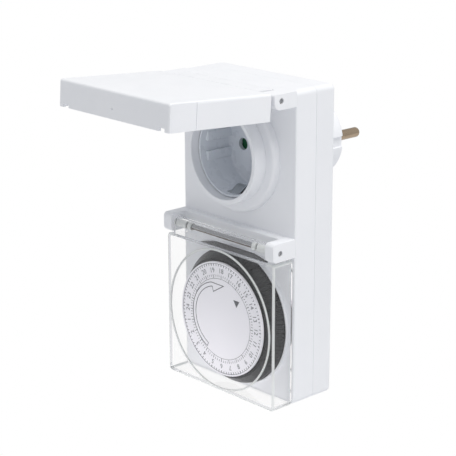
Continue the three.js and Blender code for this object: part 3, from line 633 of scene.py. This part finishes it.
cup = {
    "inner": 18.9, "outer": 19.9, "front": -6.2, "rim": 0.3, "floor": 12.2, "floorRound": 1.2, "thick": 2,
    "flange": {"radius": 22.6, "span": (2.4, 4)},
    "hole": 2.9,          # for the contact pins
    # for the earth blades; feet are heights from the socket's centre
    "slot": {"half": 4, "span": (-3.4, 11), "feet": (16, -24), "high": 8, "edge": 0.3},
    "pad": {"span": (17.2, 19.1), "front": -2.7, "back": 12.7, "feet": (2.4, -7), "high": 4.6,
            "edge": 0.5},
}


def makeCup():
    inner, outer, face, floor, rim = (cup[k] for k in ("inner", "outer", "front", "floor", "rim"))
    flange, slot, pad = (cup[k] for k in ("flange", "slot", "pad"))
    back, middle = floor + cup["thick"], site["socketZ"]
    body = spun([
        (0, back), (outer, back), (outer, flange["span"][1]), (flange["radius"], flange["span"][1]),
        (flange["radius"], flange["span"][0]), (outer, flange["span"][0]), (outer, face, rim),
        (inner, face, rim), (inner, floor, cup["floorRound"]), (0, floor)], socketAxis)
    cuts = [rod("y", cup["hole"], (floor - past, back + past), (side * site["pitch"], middle))
            for side in (-1, 1)]
    cuts += [block((-slot["half"], slot["half"]), slot["span"],
                   (middle + foot, middle + foot + slot["high"]), slot["edge"]) for foot in slot["feet"]]
    # two guide pads stand out from each side wall
    pads = [one for foot in pad["feet"] for one in mirrored(
        lambda: block(pad["span"], (pad["front"], pad["back"]),
                      (middle + foot, middle + foot + pad["high"]), pad["edge"], 3))]
    return together([formed(body, (), cuts), *pads])


blade = {
    "half": 3, "thick": 0.6, "bend": 0.8, "edge": 0.12,
    "spine": [(-2.6, 19.2), (2.2, 15.8), (4.4, 15.8), (10, 19.2)],   # y, and z from the socket's centre
}


def makeEarthBlade(side):
    # spring strip bowed into the cup: its bent line, and the same line again at its thickness
    bends = [(y, z, blade["bend"]) if index in (1, 2) else (y, z)
             for index, (y, z) in enumerate(blade["spine"])]
    back = [(bend[0], bend[1] + blade["thick"], *bend[2:]) for bend in reversed(bends)]
    points = [(bend[0], site["socketZ"] + side * bend[1], *bend[2:]) for bend in bends + back]
    return pushed(points, "x", (-blade["half"], blade["half"]), blade["edge"])


finishPiece(makeCup(), "cup_insert", socketNylon, "housing", ["socket_cup"])
for name, side in (("upper", 1), ("lower", -1)):
    finishPiece(makeEarthBlade(side), f"earth_blade_{name}", springNickel, "housing",
                [f"earth_clip_{name}"])
print("socket made")


# The lid is drawn closed, with its pin at the origin, and then turned open.
lid = {
    "half": 36.9, "free": -62.5, "start": -5.4, "face": -3.6, "mouth": 8.6, "wall": 1.5, "edge": 1.3,
    "mouthEdge": 0.25, "hollowEdge": 0.6,
    "barrel": 28, "barrelEdge": 0.25, "neck": -6, "heel": 3.1,
    # room in the hinge side, notches in the free wall, finger grips at the sides, and the gate's mark
    "relief": {"half": 28.5, "front": 2.2, "margin": 0.5},
    "notch": {"span": (-7, -3), "depth": 1.6, "margin": 0.2, "edge": 0.3},
    "grip": {"length": 14.5, "depth": 0.3},
    "gate": {"radius": 0.5, "depth": 0.4, "y": 4.2},
}


def turnedOpen(bm):
    return shifted(turned(bm, "X", -site["lidOpen"]), 0, *site["lidPin"])


def makeLid():
    wide, free, start = lid["half"], lid["free"], lid["start"]
    face, mouth, wall = lid["face"], lid["mouth"], lid["wall"]
    relief, notch, grip, gate = (lid[k] for k in ("relief", "notch", "grip", "gate"))
    # the four upright corners first, then the rims of the outer face and the mouth
    outer = soften(block((-wide, wide), (face, mouth), (free, start)), lid["edge"], 4, standing(1))
    soften(outer, lid["edge"], 4, rimAt(1, face))
    soften(outer, lid["mouthEdge"], 2, rimAt(1, mouth))
    inner = block((wall - wide, wide - wall), (face + wall, mouth + 2 * past), (free + wall, start - wall),
                  lid["hollowEdge"])
    room = block((-relief["half"], relief["half"]), (relief["front"], mouth + 2 * past),
                 (start - wall - relief["margin"], start + past))
    notches = mirrored(lambda: block(
        (wide + notch["span"][0], wide + notch["span"][1]), (mouth - notch["depth"], mouth + past),
        (free - past, free + wall + notch["margin"]), notch["edge"]))
    grips = mirrored(lambda: block((wide - grip["depth"], wide + past), (face - past, mouth + past),
                                   (free - past, free + grip["length"])))
    dimple = turned(rod("y", gate["radius"], (-gate["depth"], gate["depth"]), (0, 0), 20), "X", 90)
    shifted(dimple, 0, gate["y"], free)
    barrel = rod("x", -face, (-lid["barrel"], lid["barrel"]), (0, 0), 48, lid["barrelEdge"])
    neck = block((-lid["barrel"], lid["barrel"]), (face, 0), (lid["neck"], lid["heel"]), lid["barrelEdge"])
    bore = rod("x", front["pinBore"], site["through"], (0, 0), 32)
    return turnedOpen(formed(outer, [barrel, neck], [inner, room, *notches, *grips, dimple, bore]))


seal = {"inner": 17.9, "outer": 19.7, "lip": (18.4, 19.2), "gap": 0.3, "thick": 2.2, "high": 3.3,
        "round": 0.3}


def makeSeal():
    start = lid["face"] + lid["wall"] + seal["gap"]
    shoulder, tip = start + seal["thick"], start + seal["high"]
    inner, outer = seal["inner"], seal["outer"]
    return turnedOpen(spun([
        (inner, start), (outer, start), (outer, shoulder), (seal["lip"][1], tip, seal["round"]),
        (seal["lip"][0], tip, seal["round"])], (0, site["socketZ"] - site["lidPin"][1])))


# shadedBelow: a face whose normal points down further than this gets the painted shade
pin = {"radius": 1.1, "inset": 0.6, "edge": 0.2, "shadedBelow": -0.35}


def makeHingePin(centre):
    end = half - pin["inset"]
    bm = rod("x", pin["radius"], (-end, end), centre, 40, pin["edge"])
    bmesh.ops.recalc_face_normals(bm, faces=bm.faces)
    # the second finish is painted shade: the faces turned downwards get the dark brown painted shade along
    # the underside
    for face in bm.faces:
        face.material_index = 1 if face.normal.z < pin["shadedBelow"] else 0
    return bm


finishPiece(makeLid(), "lid_shell", mouldedAbs, "lid", ["socket_lid"])
finishPiece(makeSeal(), "lid_gasket", sealRubber, "lid", ["lid_seal"])
# each hinge pin's underside carries the dark brown painted shade as its extra finish
for name in ("lid", "cover"):
    finishPiece(makeHingePin(site[f"{name}Pin"]), f"{name}_pin", drawnSteel, "housing",
                [f"{name}_hinge_pin"], extra=[pinUndersideShade])
print("lid made")


cover = {
    "half": 36, "foot": -0.5, "top": 69.4, "front": -12.2, "back": -0.4, "wall": 1.3,
    "corner": 2, "frontRound": 0.9, "backRound": 0.2, "hollowCorner": 1.2, "hollowRound": 0.3,
    "rim": 0.95,                                   # width of the matt rim
    "square": 0.985,                               # a normal nearer to an axis than this isn't slanted
    "notch": 30.4, "notchFront": -5.2,             # opening in the top wall, half its width
    "hook": 3.1, "hookHalf": 30.9, "hookRoot": 1,  # goes over the hinge pin
    "slack": 0.02,                                 # a round can't quite use up its whole edge
}


def makeHook():
    # seen from the side: up from the top wall, over the pin, and down to the pin's middle
    pinY, pinZ = site["coverPin"]
    outside, inside = cover["hook"], cover["hook"] - cover["wall"]
    start = cover["top"] - cover["hookRoot"]
    outerRound, innerRound = outside - cover["slack"], inside - cover["slack"]
    return pushed([
        (pinY - outside, start), (pinY - outside, pinZ + outside, outerRound),
        (pinY + outside, pinZ + outside, outerRound), (pinY + outside, pinZ), (pinY + inside, pinZ),
        (pinY + inside, pinZ + inside, innerRound), (pinY - inside, pinZ + inside, innerRound),
        (pinY - inside, start)], "x", (-cover["hookHalf"], cover["hookHalf"]), 0, 8)


def makeCover():
    wide, foot, top = cover["half"], cover["foot"], cover["top"]
    face, back, wall = cover["front"], cover["back"], cover["wall"]
    outer = slab((-wide, wide), (foot, top), (face, back), cover["corner"], cover["frontRound"],
                 cover["backRound"])
    inner = slab((wall - wide, wide - wall), (foot + wall, top - wall), (face + wall, back + past),
                 cover["hollowCorner"], cover["hollowRound"])
    notch = block((-cover["notch"], cover["notch"]), (cover["notchFront"], back + past),
                  (top - wall - past, top + past))
    shape = formed(outer, [makeHook()], [inner, notch])
    # the rounded outer rims get the second, matt finish
    rim = cover["rim"]
    for side in shape.faces:
        centre = side.calc_center_median()
        atRim = abs(centre.x) > wide - rim or centre.z < foot + rim or centre.z > top - rim
        slanted = max(abs(part) for part in side.normal) < cover["square"]
        if slanted and atRim and centre.z < top:
            side.material_index = 1
    return shape


knuckle = {"spans": ((24, 30.8), (20.6, 22.8)), "bore": 1.15, "edge": 0.15}


def makeKnuckles():
    # matt lugs inside the hook that turn on the pin
    radius = cover["hook"] - cover["wall"] - cover["slack"]
    return together([one for span in knuckle["spans"] for one in mirrored(
        lambda: formed(rod("x", radius, span, site["coverPin"], 40, knuckle["edge"]), (),
                       [rod("x", knuckle["bore"], (0, 40), site["coverPin"], 32)]))])


bead = {"radii": (33.2, 34.1), "raise": 0.6, "round": 0.35, "sunk": 0.05}


def makeBead():
    # low matt bead round the window over the dial
    (low, high), face = bead["radii"], cover["front"]
    crest, foot = face - bead["raise"], face + bead["sunk"]
    return spun([(low, crest, bead["round"]), (high, crest, bead["round"]), (high, foot), (low, foot)],
                dialAxis, 160)


finishPiece(makeCover(), "cover_shell", clearPolycarbonate, "cover", ["clear_cover"],
            extra=[frostedPolycarbonate])
finishPiece(makeKnuckles(), "hook_knuckles", frostedPolycarbonate, "cover", ())
finishPiece(makeBead(), "window_bead", frostedPolycarbonate, "cover", ())
print("clear cover made")


disc = {"radius": 27.4, "front": -10.2, "back": -8.7, "backRim": -9.1, "rim": 0.3, "rimWidth": 0.8,
        "round": 0.2, "hub": 4.5, "hubBack": -6, "boreEnd": -9.2}
spindle = {"radius": 2, "span": (-9.1, 14), "room": 0.1, "edge": 0.3}


def makeDisc():
    radius, face, back, rim, edge = (disc[k] for k in ("radius", "front", "back", "rim", "round"))
    bore, inside = spindle["radius"] + spindle["room"], radius - disc["rimWidth"]
    return spun([
        (bore, disc["hubBack"]), (disc["hub"], disc["hubBack"]), (disc["hub"], back), (inside, back),
        (radius, disc["backRim"], edge), (radius, face - rim, edge), (inside, face - rim, edge),
        (inside, face), (0, face), (0, disc["boreEnd"]), (bore, disc["boreEnd"])], dialAxis, 128)


ink = {
    "thick": 0.03, "sunk": 0.01,                  # above and below the disc's face
    "numeralRadius": 23.2, "numeralSize": 3.3,
    "hourAtTop": 18,
    "outerTicks": {"radii": (25.4, 26.5), "hour": 0.42, "quarter": 0.3, "longer": 0},
    "innerTicks": {"radii": (20.2, 21.3), "hour": 0.32, "quarter": 0.24, "longer": 0.6},
    "rings": ((19.31, 19.49), (26.38, 26.58)),
    "mark": [(8.3, 11.5), (12.3, 11.5), (10.3, 8.2)],
}


def inkTick(ticks, angle, onHour):
    # one printed tick, pointing outwards at this angle
    low, high = ticks["radii"]
    width = ticks["hour" if onHour else "quarter"]
    bar = block((low - (ticks["longer"] if onHour else 0), high),
                (disc["front"] - ink["thick"], disc["front"] + ink["sunk"]), (-width / 2, width / 2))
    return turned(bar, "Y", -angle)


def inkNumeral(text, angle):
    curve = bpy.data.curves.new("numeral", "FONT")
    curve.body = text
    curve.size = ink["numeralSize"]
    curve.align_x = curve.align_y = "CENTER"
    curve.resolution_u = 3
    curve.extrude = ink["thick"] / 2
    holder = bpy.data.objects.new("numeral", curve)
    bpy.context.scene.collection.objects.link(holder)
    bm = asShown(holder)
    bpy.data.objects.remove(holder)
    bmesh.ops.remove_doubles(bm, verts=bm.verts, dist=weld)
    bmesh.ops.recalc_face_normals(bm, faces=bm.faces)
    turned(bm, "X", 90)
    shifted(bm, 0, disc["front"] - ink["thick"] / 2 + ink["sunk"] / 2, ink["numeralRadius"])
    return turned(bm, "Y", 90 - angle)


arrow = {"centre": (-2.3, -0.2), "outer": 17.5, "inner": 15.2, "tail": 245, "head": 105, "line": 0.36,
         "tip": (2.2, 16.6), "barb": (-5.4, 12.0)}


def inkArrow():
    # outlined arrow: a band turned about its own centre, its head added, then only a border kept
    face = disc["front"] - ink["thick"]
    x, z = arrow["centre"]
    bm = bmesh.new()
    a = bm.verts.new((x + arrow["inner"], face, z))
    b = bm.verts.new((x + arrow["outer"], face, z))
    start = bm.edges.new((a, b))
    bmesh.ops.rotate(bm, cent=(x, 0, z), matrix=Matrix.Rotation(-math.radians(arrow["tail"]), 3, "Y"),
                     verts=[a, b])
    made = bmesh.ops.spin(bm, geom=[a, b, start], cent=(x, 0, z), axis=(0, 1, 0),
                          angle=math.radians(arrow["tail"] - arrow["head"]), steps=28)
    last = [v for v in made["geom_last"] if isinstance(v, bmesh.types.BMVert)]
    last.sort(key=lambda v: (v.co.x - x) ** 2 + (v.co.z - z) ** 2)
    barb = bm.verts.new((arrow["barb"][0], face, arrow["barb"][1]))
    tip = bm.verts.new((arrow["tip"][0], face, arrow["tip"][1]))
    bm.faces.new((last[0], barb, tip, last[1]))
    bmesh.ops.recalc_face_normals(bm, faces=bm.faces)
    whole = bmesh.ops.dissolve_faces(bm, faces=list(bm.faces))["region"]
    bmesh.ops.inset_region(bm, faces=whole, thickness=arrow["line"], use_even_offset=True,
                           use_boundary=True)
    # the border's faces have four corners, the middle has many
    middle = [f for f in bm.faces if len(f.verts) > 6]
    bmesh.ops.delete(bm, geom=middle, context="FACES")
    return thickened(bm, y=ink["thick"] + ink["sunk"])


def makePrint():
    marks = []
    hourTurn = 360 / 24
    for quarter in range(24 * 4):
        for ticks in (ink["outerTicks"], ink["innerTicks"]):
            marks.append(inkTick(ticks, quarter * hourTurn / 4, quarter % 4 == 0))
    # the hours are printed against the clock, so that the dial can turn clockwise past its mark
    for hour in range(1, 25):
        marks.append(inkNumeral(str(hour), 90 + (hour - ink["hourAtTop"]) * hourTurn))
    face, depth = disc["front"] - ink["thick"], disc["front"] + ink["sunk"]
    for low, high in ink["rings"]:
        marks.append(spun([(low, face), (high, face), (high, depth), (low, depth)], (0, 0), 96))
    marks.append(pushed(ink["mark"], "y", (face, depth)))
    marks.append(inkArrow())
    return shifted(together(marks), 0, 0, site["dialZ"])


segment = {
    "count": 96, "loose": 4, "looseStart": 112.5,         # the loose ones start at this angle
    "width": math.radians(3.6) * 30,                      # 3.6 degrees of the ring, at its middle
    "inner": 27.9, "outer": 32.3, "crest": 28.7, "front": -8.4, "slope": -3.2, "back": 3,
    "round": 0.3,
}


def makeSegment(index):
    # one tripper: its section given its width, and turned to its place on the ring
    inner, outer, face, back, edge = (segment[k] for k in ("inner", "outer", "front", "back", "round"))
    bm = section([(inner, face), (segment["crest"], face, edge), (outer, segment["slope"], edge),
                  (outer, back), (inner, back)], lambda r, y: (r, y, -segment["width"] / 2), 2)
    thickened(bm, z=segment["width"])
    turned(bm, "Y", -segment["looseStart"] - (index + 0.5) * 360 / segment["count"])
    return shifted(bm, 0, 0, site["dialZ"])


drum = {"bore": 2.1, "inner": 26.6, "outer": 27.8, "front": -8.2, "web": (0.6, 2.9), "flange": 31.8,
        "flangeFront": 1.2}


def makeCarrier():
    # drum that the segments slide on, with the fixed segments standing on it
    bore, inner, outer, face, flange = (drum[k] for k in ("bore", "inner", "outer", "front", "flange"))
    web = drum["web"]
    body = spun([
        (bore, web[0]), (inner, web[0]), (inner, face), (outer, face), (outer, drum["flangeFront"]),
        (flange, drum["flangeFront"]), (flange, web[1]), (bore, web[1])], dialAxis, 96)
    return together([body, *[makeSegment(index) for index in range(segment["loose"], segment["count"])]])


finishPiece(makeDisc(), "disc", dialAbs, "dial", ["dial_disc"])
finishPiece(makePrint(), "dial_print", padInk, "dial", ())
finishPiece(makeCarrier(), "segment_ring", segmentAcetal, "dial", ["segment_carrier"])
for index in range(segment["loose"]):
    finishPiece(makeSegment(index), f"tripper_{index + 1}", segmentAcetal, f"segment_{index + 1}",
                [f"segment_{index + 1}"])
finishPiece(rod("y", spindle["radius"], spindle["span"], dialAxis, 40, spindle["edge"]), "spindle",
            turnedSteel, "dial", ["dial_spindle"])
print("dial made")


# the other parts keep the shapes they came with
keptFinishes = {
    "housing_gasket": sealRubber, "socket_shutter": shutterNylon, "shutter_spring": drawnSteel,
    "earth_bar": nickelBrass, "live_contact": rolledBrass, "neutral_contact": rolledBrass,
    "neutral_bar": rolledBrass, "live_bar": rolledBrass, "load_bar": rolledBrass,
    "dial_gear": gearAcetal, "idler_gear": gearAcetal, "idler_axle": turnedSteel,
    "motor_pinion": rolledBrass, "mechanism_plate": gearAcetal, "clock_motor": zincSteel,
    "switch_lever": gearAcetal, "lever_axle": drawnSteel, "micro_switch": phenolic,
    "switch_plunger": redNylon,
}
for name, finish in keptFinishes.items():
    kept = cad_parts[name]
    kept.data.materials.clear()
    kept.data.materials.append(finish)
print("inner parts finished")


studio = {
    "world": "F8F9FB", "worldStrength": 0.64,
    "floor": "F4F5F7", "drop": 0.16, "floorSize": 6,          # metres
}
lamps = [
    # place and aim in metres from the object's middle, size in metres, spread in degrees, power in watts
    {"name": "top", "at": (0.45, 0.1, 1.1), "aim": (0, 0, 0), "size": 0.8, "spread": 180, "power": 8.6,
     "colour": "FFFDFA"},
    # faint and narrow: lifts the dial behind its cover
    {"name": "low_front", "at": (0.25, -1.0, -0.16), "aim": (0, -0.045, -0.085), "size": 0.08,
     "spread": 5, "power": 0.006, "colour": "FFFAFA"},
]
view = {"azimuth": 47.377, "elevation": 16.709, "roll": -0.189, "distance": 0.700719, "lens": 119.44,
        "sensor": 36, "target": (-6.795, 0, 75), "clip": (0.05, 50)}


def seenDirectly(tree):
    # 1 for what the camera sees, by itself or through the clear cover
    ray = addNode(tree, "ShaderNodeLightPath")
    seen = addNode(tree, "ShaderNodeMath", {"operation": "MAXIMUM"},
                   {0: ray.outputs["Is Camera Ray"], 1: ray.outputs["Is Transmission Ray"]})
    return seen.outputs[0]


def makePaper():
    # white studio paper: plain white to the camera, while it lights the object by its own colour
    material = makeFinish("studio_paper", {
        "colour": studio["floor"], "shade": studio["floor"], "blotch": 200, "patch": 60,
        "gloss": (0.8, 0.9), "grain": 2, "relief": 0.02})
    tree = material.node_tree
    output = next(node for node in tree.nodes if node.type == "OUTPUT_MATERIAL")
    paper = output.inputs["Surface"].links[0].from_socket
    glow = addNode(tree, "ShaderNodeEmission", {"Color": linear(white), "Strength": 1.0})
    mix = addNode(tree, "ShaderNodeMixShader", {}, {0: seenDirectly(tree), 1: paper, 2: glow.outputs[0]})
    tree.links.new(mix.outputs[0], output.inputs["Surface"])
    return material


def makeWorld():
    world = bpy.data.worlds.new("studio")
    bpy.context.scene.world = world
    world.use_nodes = True
    tree = world.node_tree
    tree.nodes.clear()
    soft = addNode(tree, "ShaderNodeBackground",
                   {"Color": linear(studio["world"]), "Strength": studio["worldStrength"]})
    plain = addNode(tree, "ShaderNodeBackground", {"Color": linear(white), "Strength": 1.0})
    mix = addNode(tree, "ShaderNodeMixShader", {},
                  {0: seenDirectly(tree), 1: soft.outputs[0], 2: plain.outputs[0]})
    addNode(tree, "ShaderNodeOutputWorld", {}, {"Surface": mix.outputs[0]})


def makeFloor():
    bm = bmesh.new()
    bmesh.ops.create_grid(bm, x_segments=1, y_segments=1, size=studio["floorSize"])
    floor = asObject(shifted(bm, 0, 0, footZ - studio["drop"]), "floor")
    floor.data.materials.append(makePaper())


def makeLamp(lamp):
    data = bpy.data.lights.new(lamp["name"], "AREA")
    data.shape = "DISK"
    data.size = lamp["size"]
    data.energy = lamp["power"]
    data.color = linear(lamp["colour"])[:3]
    data.spread = math.radians(lamp["spread"])
    holder = bpy.data.objects.new(lamp["name"], data)
    bpy.context.scene.collection.objects.link(holder)
    holder.location = (cadLow + cadHigh) / 2 + Vector(lamp["at"])
    holder.rotation_mode = "QUATERNION"
    holder.rotation_quaternion = (Vector(lamp["at"]) - Vector(lamp["aim"])).to_track_quat("Z", "Y")


def makeCamera():
    azimuth, elevation, roll = (math.radians(view[k]) for k in ("azimuth", "elevation", "roll"))
    back = Vector((math.sin(azimuth) * math.cos(elevation), -math.cos(azimuth) * math.cos(elevation),
                   math.sin(elevation)))
    side = Vector((math.cos(azimuth), math.sin(azimuth), 0))
    rise = back.cross(side)
    right = side * math.cos(roll) + rise * math.sin(roll)
    up = rise * math.cos(roll) - side * math.sin(roll)
    x, y, z = view["target"]
    target = Vector((x * mm, y * mm + panelY, z * mm + footZ))
    data = bpy.data.cameras.new("camera")
    data.sensor_width = view["sensor"]
    data.lens = view["lens"]
    data.clip_start, data.clip_end = view["clip"]
    camera = bpy.data.objects.new("camera", data)
    bpy.context.scene.collection.objects.link(camera)
    camera.rotation_mode = "QUATERNION"
    camera.location = target + back * view["distance"]
    camera.rotation_quaternion = Matrix((right, up, back)).transposed().to_quaternion()
    bpy.context.scene.camera = camera


bpy.context.scene.view_settings.view_transform = "Standard"
makeWorld()
makeFloor()
for lamp in lamps:
    makeLamp(lamp)
makeCamera()
print("studio made")
